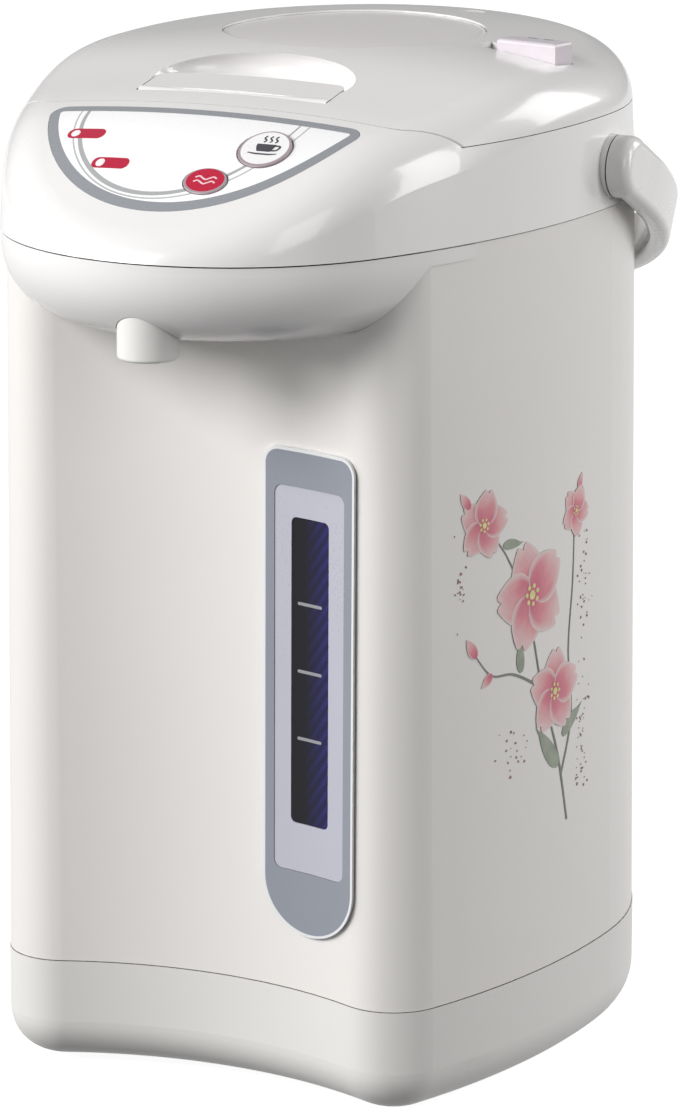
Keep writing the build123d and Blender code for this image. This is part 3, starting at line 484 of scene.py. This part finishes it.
def buttonFinish(name, look):
    # the ring is printed on the edge of the cap
    material, tree, shader = mouldedFinish(name, look["colour"], caps["rough"], coat=caps["coat"])
    turn = (math.radians(look["tilt"]), 0, 0)
    x, y = axesOf(tree, placeOf(tree, capCentre(look), turn, inMm), "XY")
    radius = hypotOf(tree, x, calc(tree, "DIVIDE", y, look["aspect"]))
    within = inside(tree, radius, look["ring"])
    setBase(tree, shader, mixed(tree, within, caps["ringColour"], baseOf(shader)))
    return material


panelFilm = panelFinish(panelPrint)
dispenseWhite = buttonFinish("dispenseWhite", dispense)
reboilRed = buttonFinish("reboilRed", reboil)
lampWhite = mouldedFinish("lampWhite", tone(250, 246, 247), rough=0.2, coat=0.5)[0]
print("panel finishes made")


# level gauge: blue-grey surround with a pale rim, lilac label, dark window with slanted hatching

gaugeCentre = (0.038, 0, 0)
bezel = {
    "colour": tone(139, 143, 153), "rim": tone(226, 227, 229), "rimWidth": 0.9,
    "half": 19.5, "lowCentre": 81.0, "high": 231.0, "corner": 6.0,
    "rough": 0.3, "grain": 2400.0, "depth": 0.000004, "coat": 0.15,
}


def bezelFinish(look):
    # painted shade in the gaps round the bezel
    material, tree, shader = mouldedFinish("bezelGrey", look["colour"], look["rough"], look["grain"],
                                           look["depth"], look["coat"], joints=True)
    x, z = axesOf(tree, placeOf(tree, gaugeCentre, scale=inMm), "XZ")
    corner = look["corner"]
    below = calc(tree, "MINIMUM", minus(tree, z, look["lowCentre"]), 0.0)
    past = notBelow(tree, minus(tree, calc(tree, "ABSOLUTE", x), look["half"] - corner), 0.0)
    over = notBelow(tree, minus(tree, z, look["high"] - corner), 0.0)
    lowShape = minus(tree, look["half"], hypotOf(tree, x, below))
    highShape = minus(tree, corner, hypotOf(tree, past, over))
    onRim = inside(tree, calc(tree, "MINIMUM", lowShape, highShape), look["rimWidth"])
    setBase(tree, shader, mixed(tree, onRim, baseOf(shader), look["rim"]))
    return material


window = {
    "dark": tone(22, 22, 28), "blue": tone(38, 35, 96), "stripe": tone(28, 25, 70),
    "slope": -1.35, "pitch": 5.4, "stripeSpan": (-0.4, 0.7), "hatchSpan": (-2.4, 6.8),
    "tick": tone(160, 160, 164), "levels": (178.0, 154.5, 131.0), "tickX": -0.2, "tickHalf": 5.2,
    "tickRadius": 0.55, "tickShare": 0.85,
    "grain": 500.0, "rough": (0.14, 0.2), "shine": 0.25, "depth": 0.000006,
}


def windowFinish(look):
    material, tree, shader = startMaterial("windowDark")
    x, z = axesOf(tree, placeOf(tree, gaugeCentre, scale=inMm), "XZ")
    slant = calc(tree, "MULTIPLY_ADD", x, look["slope"], z)
    wave = calc(tree, "SINE", times(tree, slant, 2 * math.pi / look["pitch"]))
    hatch = mixed(tree, ranged(tree, wave, *look["stripeSpan"]), look["stripe"], look["blue"])
    colour = mixed(tree, ranged(tree, x, *look["hatchSpan"]), look["dark"], hatch)
    for level in look["levels"]:
        tick = barShape(tree, x, z, (look["tickX"], level), look["tickHalf"], look["tickRadius"])
        colour = mixed(tree, times(tree, tick, look["tickShare"]), colour, look["tick"])
    setBase(tree, shader, colour)
    fine = noiseOf(tree, placeOf(tree), look["grain"])
    roughen(tree, shader, fine, *look["rough"])
    shader.inputs["Specular IOR Level"].default_value = look["shine"]
    bumpOf(tree, shader, fine, look["depth"])
    return material


bezelGrey = bezelFinish(bezel)
labelLilac = mouldedFinish("labelLilac", tone(184, 184, 196), rough=0.3, coat=0.2)[0]
windowDark = windowFinish(window)


# which node gets which finish: the rest is bright steel

finishes = {
    "collar": glossWhite, "chin_cover": glossWhite, "lid_shell": glossWhite, "lid_lever": glossWhite,
    "carry_handle": glossWhite, "pump_plate": plateWhite, "base_shell": satinWhite,
    "body_jacket": jacketPaint, "spout_nozzle": linerWhite, "lid_liner": linerWhite,
    "lid_latch": linerWhite, "steam_vent": linerWhite, "handle_pins": linerWhite,
    "pump_housing": linerWhite, "lock_slider": sliderPink, "panel_overlay": panelFilm,
    "dispense_button": dispenseWhite, "reboil_button": reboilRed, "indicator_lenses": lampWhite,
    "gauge_bezel": bezelGrey, "gauge_label": labelLilac, "gauge_window": windowDark,
    "level_tube": clearTube, "inner_pot": potSteel, "inner_lid": lidSteel, "pot_filter": potSteel,
    "turntable": greyPlastic, "swivel_retainer": greyPlastic, "power_inlet": blackPlastic,
    "inlet_pins": brassBlade, "rubber_feet": darkRubber, "control_board": boardGreen,
    "main_board": boardGreen, "pump_bellows": siliconeWhite, "pot_seal": siliconeWhite,
    "lid_gasket": siliconeWhite, "inlet_tube": siliconeWhite, "outlet_elbow": siliconeWhite,
    "outlet_pipe": siliconeWhite,
}
for name, node in nodes.items():
    for slot in node.material_slots:
        slot.material = finishes.get(name, brightSteel)
print("frame dressed")


# new pieces

def finishPiece(name, bm, material, body):
    mesh = bpy.data.meshes.new(name)
    bm.to_mesh(mesh)
    bm.free()
    mesh.materials.append(material)
    piece = bpy.data.objects.new(name, mesh)
    bpy.context.scene.collection.objects.link(piece)
    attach(piece, body)
    return piece


# springs and bellows, which shorten when their joint moves; here each is a smooth copy of its node, set a
# touch short along its axis

pumpFloor = (0, plateY, 0.3304)
plateTravel = 10.0
squeezed = {
    "bellowsFolds": {"node": "pump_bellows", "slot": "silicone", "joint": "pump_plate_press",
                     "axis": (0, 0, 1), "fixed": pumpFloor, "long": 19.8, "travel": plateTravel},
    "plateSpring": {"node": "pump_spring", "slot": "bright_steel", "joint": "pump_plate_press",
                    "axis": (0, 0, 1), "fixed": pumpFloor, "long": 22.8, "travel": plateTravel},
    "latchSpring": {"node": "latch_spring", "slot": "bright_steel", "joint": "latch_slide",
                    "axis": (0, 1, 0), "fixed": (0, -0.0664, 0.3323), "long": 15.64, "travel": 5.1},
}
# slack keeps a free end just off the piece that it bears on
squeezing = {"merge": 0.000001, "slack": 0.998, "sharp": 35}


def makeSqueezed():
    for name, look in squeezed.items():
        bm = bmesh.new()
        bm.from_mesh(nodes[look["node"]].data)
        bmesh.ops.remove_doubles(bm, verts=bm.verts, dist=squeezing["merge"])
        slack = [squeezing["slack"] if part else 1 for part in look["axis"]]
        space = Matrix.Translation([-part for part in look["fixed"]])
        bmesh.ops.scale(bm, vec=slack, space=space, verts=bm.verts)
        for face in bm.faces:
            face.smooth = True
        for edge in bm.edges:
            edge.smooth = edge.is_manifold and edge.calc_face_angle() < math.radians(squeezing["sharp"])
        piece = finishPiece(name, bm, finishes.get(look["node"], brightSteel), "lid")
        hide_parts(look["node"])
        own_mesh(piece)


makeSqueezed()
print("springs and bellows made")


# flat marks, drawn in a plane with bmesh operators and laid on the surface they belong to

def curvePoints(knots, steps):
    # a smooth line through a few given knots
    points = []
    for step in range(steps + 1):
        where = step / steps * (len(knots) - 1)
        index = min(int(where), len(knots) - 2)
        part = where - index
        before, after = max(0, index - 1), min(len(knots) - 1, index + 2)
        a, b, c, d = [Vector(knots[each]) for each in (before, index, index + 1, after)]
        bend = 2 * a - 5 * b + 4 * c - d
        twist = 3 * b - a - 3 * c + d
        point = 0.5 * (2 * b + (c - a) * part + bend * part ** 2 + twist * part ** 3)
        points.append((point.x, point.y))
    return points


def ribbon(bm, points, widths):
    # a flat stroke, drawn on from its first edge
    edge = None
    for index, point in enumerate(points):
        near, far = points[max(index - 1, 0)], points[min(index + 1, len(points) - 1)]
        along = (Vector(far) - Vector(near)).normalized()
        side = Vector((-along.y, along.x)) * widths[index] / 2
        left = Vector(point) + side
        right = Vector(point) - side
        if edge is None:
            a = bm.verts.new((left.x, left.y, 0))
            b = bm.verts.new((right.x, right.y, 0))
            edge = bm.edges.new((a, b))
            continue
        made = bmesh.ops.extrude_edge_only(bm, edges=[edge])["geom"]
        fresh = [item for item in made if isinstance(item, bmesh.types.BMVert)]
        lastLeft = a.co.copy()
        a = min(fresh, key=lambda vert: (vert.co - lastLeft).length)
        b = [vert for vert in fresh if vert is not a][0]
        a.co = (left.x, left.y, 0)
        b.co = (right.x, right.y, 0)
        edge = bm.edges.get((a, b))


def stroke(bm, knots, steps, width):
    points = curvePoints(knots, steps)
    ribbon(bm, points, [width] * len(points))


def spot(bm, x, y, wide, tall, turn=0.0, segments=10):
    # a filled oval
    size = Matrix.Diagonal((wide, tall, 1, 1))
    move = Matrix.Translation((x, y, 0)) @ Matrix.Rotation(turn, 4, "Z") @ size
    bmesh.ops.create_circle(bm, cap_ends=True, segments=segments, radius=1, matrix=move)


ink = {
    "grain": 240.0, "detail": 3.0, "dark": 0.86, "light": 1.12, "rough": (0.36, 0.44), "depth": 0.000008,
}


def inkFinish(name, colour, look=ink):
    material, tree, shader = startMaterial(name)
    wash = noiseOf(tree, placeOf(tree), look["grain"], look["detail"])
    share = ranged(tree, wash, *noiseSpan)
    setBase(tree, shader, mixed(tree, share, shaded(colour, look["dark"]), shaded(colour, look["light"])))
    roughen(tree, shader, wash, *look["rough"])
    bumpOf(tree, shader, wash, look["depth"])
    return material


# printed spray on the side of the jacket: a generic branch with five-petal blossoms

spray = {
    "stem": tone(122, 126, 118), "leaf": tone(150, 158, 142), "dot": tone(150, 112, 128),
    "heart": tone(222, 216, 150),
    "side": 268.0, "centre": -165.0, "draft": 2.6, "low": 40.7, "high": 301.4,
    "lift": 0.12, "dotLift": 0.01, "leafLift": 0.02, "petalLift": 0.04, "heartLift": 0.18, "overlap": 0.02,
    "stemSteps": 26, "stemWidth": 1.15, "stemTaper": 0.75, "leafDent": -0.25, "leafLean": 1.2,
    "petals": 5, "petalWide": 0.98, "petalDent": 0.16, "petalLean": 0.05, "budDent": -0.12,
    "stamens": 7, "stamenRing": 0.17, "stamen": 0.045, "heartSize": 0.09,
    "dotSeed": 4, "dotSize": (0.25, 0.6), "dotAspect": (0.6, 1.0), "dotTurn": (0, 3), "dotSides": 7,
}

# x and y in millimetres along the side and up the jacket
drawing = {
    "stems": [
        [(-34, 91), (-40, 116), (-50, 142), (-58, 170), (-70, 192), (-83, 206)],
        [(-38, 108), (-31, 128), (-33, 152), (-30, 176), (-29, 196)],
        [(-50, 142), (-66, 150), (-78, 152), (-86, 160)],
    ],
    # x, y, turn, length, width
    "leaves": [(-40, 112, 0.75, 17, 6.5), (-37, 122, -0.9, 13, 5), (-62, 150, 0.2, 10, 4.4),
               (-72, 196, -1.5, 9, 3.6)],
    "buds": [(-86, 160, 0.6, 7.5, 4.6), (-78, 152.5, 2.2, 6, 3.8), (-89, 212, 0.7, 6.5, 4.0),
             (-26, 207, -0.4, 5.5, 3.4)],
    # x, y, size, turn
    "blossoms": [(-56, 176, 19.0, 0.35), (-82, 205, 12.0, 1.1), (-42, 139, 15.0, 0.0),
                 (-28, 200, 9.0, 0.8)],
    # x, y, width, height, count
    "dots": [(-24, 118, 5.0, 22, 46), (-22, 172, 4.2, 20, 34), (-66, 124, 7.0, 9, 20),
             (-94, 186, 3.6, 14, 18)],
}


def onJacket(bm, lift, look=spray):
    # the drawing's millimetres along the side arc and up the jacket become a place on it
    for vert in bm.verts:
        inset = look["draft"] * (vert.co.y - look["low"]) / (look["high"] - look["low"])
        radius = look["side"] - inset + lift + vert.co.z
        turn = vert.co.x / look["side"]
        place = (look["centre"] + radius * math.cos(turn), radius * math.sin(turn), vert.co.y)
        vert.co = Vector(place) * mm


petalForm = {
    "cells": (6, 9), "start": 0.08, "grow": 0.92, "early": 0.8, "end": 0.93, "full": 0.75,
    "dent": 0.9, "dentPower": 6, "crown": 0.05,
}


def petal(bm, centre, turn, length, width, notch, lean=0.0, form=petalForm):
    # a small grid drawn in to a petal; its UV runs from the heart of the flower to the rim
    wide, tall = form["cells"]
    made = bmesh.ops.create_grid(bm, x_segments=wide, y_segments=tall, size=0.5, calc_uvs=True)["verts"]
    for vert in made:
        across, along = vert.co.x * 2, vert.co.y + 0.5
        swell = min(1.0, form["start"] + form["grow"] * along ** form["early"])
        half = width / 2 * math.sin(math.pi * swell * form["end"]) ** form["full"]
        dent = notch * along ** form["dentPower"] * (1 - abs(across)) ** 2 * form["dent"]
        crown = form["crown"] * along * (1 - across * across)
        vert.co = Vector((across * half + lean * along * along, length * (along - dent + crown), 0))
    bmesh.ops.rotate(bm, verts=made, cent=(0, 0, 0), matrix=Matrix.Rotation(turn, 3, "Z"))
    bmesh.ops.translate(bm, verts=made, vec=(centre[0], centre[1], 0))
    return made


petalPrint = {
    "deep": tone(196, 92, 122), "mid": tone(218, 142, 150), "pale": tone(226, 202, 200),
    "edge": tone(222, 212, 208), "deepSpan": (0.0, 0.45), "paleSpan": (0.4, 0.95), "edgeSpan": (0.34, 0.5),
    "wash": 160.0, "washDetail": 3.0, "washShare": 0.5, "washShift": 0.25,
    "vein": 900.0, "veinShare": 0.12, "rough": (0.36, 0.44), "depth": 0.000008,
}


def petalFinish(look):
    # deep at the heart, pale towards the rim, with washed bounds and fine veins
    material, tree, shader = startMaterial("petalPrint")
    uv = tree.nodes.new("ShaderNodeUVMap")
    uv.uv_map = "drawn"
    u, v = axesOf(tree, uv.outputs[0], "XY")
    place = placeOf(tree)
    wash = noiseOf(tree, place, look["wash"], look["washDetail"])
    vein = noiseOf(tree, place, look["vein"])
    out = calc(tree, "MULTIPLY_ADD", wash, look["washShare"], minus(tree, v, look["washShift"]))
    side = calc(tree, "ABSOLUTE", minus(tree, u, 0.5))
    inner = mixed(tree, ranged(tree, out, *look["deepSpan"]), look["deep"], look["mid"])
    colour = mixed(tree, ranged(tree, out, *look["paleSpan"]), inner, look["pale"])
    colour = mixed(tree, ranged(tree, side, *look["edgeSpan"]), colour, look["edge"])
    setBase(tree, shader, mixed(tree, times(tree, vein, look["veinShare"]), colour, look["mid"]))
    roughen(tree, shader, vein, *look["rough"])
    bumpOf(tree, shader, vein, look["depth"])
    return material


def printLayer(name, bm, lift, material):
    onJacket(bm, spray["lift"] + lift)
    finishPiece(name, bm, material, "housing")


def startPetals():
    bm = bmesh.new()
    bm.loops.layers.uv.new("drawn")
    return bm


def drawStems(bm, look):
    for knots in drawing["stems"]:
        points = curvePoints(knots, look["stemSteps"])
        count = len(points)
        widths = [look["stemWidth"] - look["stemTaper"] * index / count for index in range(count)]
        ribbon(bm, points, widths)


def drawLeaves(bm, look):
    for x, y, turn, length, width in drawing["leaves"]:
        petal(bm, (x, y), turn, length, width, look["leafDent"], look["leafLean"])


def drawBlossoms(bm, look):
    # each petal lies a little over the one before
    for x, y, size, turn in drawing["blossoms"]:
        for step in range(look["petals"]):
            angle = turn + step * 2 * math.pi / look["petals"]
            made = petal(bm, (x, y), angle, size, size * look["petalWide"], look["petalDent"],
                         size * look["petalLean"])
            for vert in made:
                vert.co.z = look["overlap"] * step
    for x, y, turn, length, width in drawing["buds"]:
        petal(bm, (x, y), turn, length, width, look["budDent"])


def drawHearts(bm, look):
    for x, y, size, turn in drawing["blossoms"]:
        ring = size * look["stamenRing"]
        dot = size * look["stamen"]
        for step in range(look["stamens"]):
            angle = turn + step * 2 * math.pi / look["stamens"]
            spot(bm, x + ring * math.cos(angle), y + ring * math.sin(angle), dot, dot)
        spot(bm, x, y, size * look["heartSize"], size * look["heartSize"])


def drawDots(bm, look):
    random.seed(look["dotSeed"])
    for x, y, wide, tall, count in drawing["dots"]:
        for index in range(count):
            size = random.uniform(*look["dotSize"])
            dotX = random.gauss(x, wide / 2)
            dotY = random.gauss(y, tall / 2)
            high = size * random.uniform(*look["dotAspect"])
            spot(bm, dotX, dotY, size, high, random.uniform(*look["dotTurn"]), look["dotSides"])


def makeSpray(look):
    inks = {key: inkFinish(key + "Ink", look[key]) for key in ("stem", "leaf", "dot", "heart")}
    petals = petalFinish(petalPrint)
    for name, start, draw, lift, material in (
        ("print_stems", bmesh.new, drawStems, 0, inks["stem"]),
        ("print_leaves", startPetals, drawLeaves, look["leafLift"], inks["leaf"]),
        ("print_petals", startPetals, drawBlossoms, look["petalLift"], petals),
        ("print_hearts", bmesh.new, drawHearts, look["heartLift"], inks["heart"]),
        ("print_dots", bmesh.new, drawDots, look["dotLift"], inks["dot"]),
    ):
        bm = start()
        draw(bm, look)
        printLayer(name, bm, lift, material)


makeSpray(spray)
print("printed spray made")


# plain marks on the buttons: a cup with steam, and two waves

cup = {
    "ink": tone(74, 74, 80), "width": 5.6, "taper": 1.9, "tall": 3.0, "raise": 0.1, "scale": 1.25,
    "handle": [(2.4, 1.1), (4.1, 0.9), (3.6, -0.6), (2.0, -0.9)], "handleSteps": 12, "handleWidth": 0.62,
    "saucer": [(-4.2, -2.1), (-2.0, -2.45), (2.0, -2.45), (4.2, -2.1)],
    "saucerWidths": [0.35, 0.6, 0.6, 0.35],
    "steam": [(0, 2.3), (0.5, 3.1), (-0.3, 4.0), (0.2, 4.9)], "steamAt": (-1.3, 0.4, 2.0),
    "steamSteps": 10, "steamWidth": 0.5,
}
waves = {
    "ink": tone(244, 206, 214), "steps": 30, "width": 0.62, "heights": (-1.1, 0.9),
    "knots": [(-3.9, 0), (-2.6, 0.7), (-1.3, 0), (0, -0.7), (1.3, 0), (2.6, 0.7), (3.9, 0)],
}
markLift = 0.06  # above the cap, in millimetres
cupInk = inkFinish("cupInk", cup["ink"])
waveInk = inkFinish("waveInk", waves["ink"])


def onButton(bm, look):
    # from the cap's own plane, in millimetres, to its place on the head
    place = Matrix.Translation(capCentre(look)) @ Matrix.Rotation(math.radians(look["tilt"]), 4, "X")
    lift = Matrix.Translation((0, 0, markLift * mm))
    bmesh.ops.transform(bm, matrix=place @ lift @ Matrix.Scale(mm, 4), verts=bm.verts)


def makeCupMark(look):
    bm = bmesh.new()
    for vert in bmesh.ops.create_grid(bm, x_segments=8, y_segments=4, size=0.5)["verts"]:
        low = 0.5 - vert.co.y
        wide = look["width"] - look["taper"] * low ** 2
        vert.co = Vector((vert.co.x * wide, vert.co.y * look["tall"] + look["raise"], 0))
    stroke(bm, look["handle"], look["handleSteps"], look["handleWidth"])
    ribbon(bm, look["saucer"], look["saucerWidths"])
    for start in look["steamAt"]:
        stroke(bm, [(start + x, y) for x, y in look["steam"]], look["steamSteps"], look["steamWidth"])
    bmesh.ops.scale(bm, vec=(look["scale"], look["scale"], 1), verts=bm.verts)
    onButton(bm, dispense)
    finishPiece("cup_mark", bm, cupInk, "dispense_button")


def makeWaveMark(look):
    bm = bmesh.new()
    for height in look["heights"]:
        stroke(bm, [(x, height + y) for x, y in look["knots"]], look["steps"], look["width"])
    onButton(bm, reboil)
    finishPiece("wave_mark", bm, waveInk, "reboil_button")


makeCupMark(cup)
makeWaveMark(waves)
print("button marks made")


# floor and light: the camera sees a pale floor, the piece gets a softer bounce from it

stageLook = {
    "size": 14, "tones": (tone(150, 150, 150), tone(154, 154, 154)), "grain": 40.0, "rough": 0.7,
    "shine": 0.1, "bounce": 0.12, "glow": 0.93, "floorMirror": 0.85, "roomMirror": 0.34, "ambient": 0.12,
}
lampAim = (0, -0.03, 0.2)
lamps = {
    "keySoftbox": {"place": (-1.2, -1.95, 1.4), "size": (1.1, 1.1), "power": 55},
    "leftStrip": {"place": (-2.2, -0.6, 0.7), "size": (0.7, 1.6), "power": 10},
    "edgeStrip": {"place": (-1.75, -1.2, 1.05), "size": (0.22, 1.0), "power": 12},
    "fillSoftbox": {"place": (1.7, -1.5, 1.1), "size": (0.9, 1.3), "power": 8},
    "rightStrip": {"place": (2.1, 0.5, 1.0), "size": (0.6, 1.6), "power": 20},
    "rearSoftbox": {"place": (1.3, 1.6, 1.2), "size": (0.9, 1.2), "power": 15},
}


def bySight(tree, seen, mirrored, felt, output):
    # the camera, the glossy faces and the soft bounces each meet their own shader
    sight = tree.nodes.new("ShaderNodeLightPath")
    shader = felt.outputs[0]
    for flag, chosen in (("Is Glossy Ray", mirrored), ("Is Camera Ray", seen)):
        choice = tree.nodes.new("ShaderNodeMixShader")
        tree.links.new(sight.outputs[flag], choice.inputs[0])
        tree.links.new(shader, choice.inputs[1])
        tree.links.new(chosen.outputs[0], choice.inputs[2])
        shader = choice.outputs[0]
    tree.links.new(shader, output.inputs["Surface"])


def makeStage(look):
    bpy.ops.mesh.primitive_plane_add(size=look["size"])
    floor = bpy.context.object
    floor.name = "floor"
    material, tree, shader = startMaterial("paleFloor")
    fine = noiseOf(tree, placeOf(tree), look["grain"])
    setBase(tree, shader, mixed(tree, fine, *look["tones"]))
    shader.inputs["Roughness"].default_value = look["rough"]
    shader.inputs["Specular IOR Level"].default_value = look["shine"]
    shader.inputs["Emission Color"].default_value = white
    shader.inputs["Emission Strength"].default_value = look["glow"]
    felt = tree.nodes.new("ShaderNodeBsdfDiffuse")
    felt.inputs["Color"].default_value = (look["bounce"],) * 3 + (1,)
    mirrored = tree.nodes.new("ShaderNodeEmission")
    mirrored.inputs["Strength"].default_value = look["floorMirror"]
    bySight(tree, shader, mirrored, felt, tree.nodes["Material Output"])
    floor.data.materials.append(material)


def makeLamps():
    for name, look in lamps.items():
        data = bpy.data.lights.new(name, "AREA")
        data.shape = "RECTANGLE"
        data.size, data.size_y = look["size"]
        data.energy = look["power"]
        lamp = bpy.data.objects.new(name, data)
        lamp.location = look["place"]
        aim = Vector(lampAim) - lamp.location
        lamp.rotation_euler = aim.to_track_quat("-Z", "Y").to_euler()
        bpy.context.scene.collection.objects.link(lamp)


def makeRoom(look):
    world = bpy.data.worlds.new("studio")
    world.use_nodes = True
    tree = world.node_tree
    seen = tree.nodes["Background"]
    mirrored = tree.nodes.new("ShaderNodeBackground")
    felt = tree.nodes.new("ShaderNodeBackground")
    for shader, strength in ((seen, 1), (mirrored, look["roomMirror"]), (felt, look["ambient"])):
        shader.inputs["Color"].default_value = white
        shader.inputs["Strength"].default_value = strength
    bySight(tree, seen, mirrored, felt, tree.nodes["World Output"])
    bpy.context.scene.world = world
    bpy.context.scene.view_settings.view_transform = "Standard"


makeStage(stageLook)
makeLamps()
makeRoom(stageLook)
print("stage and light made")
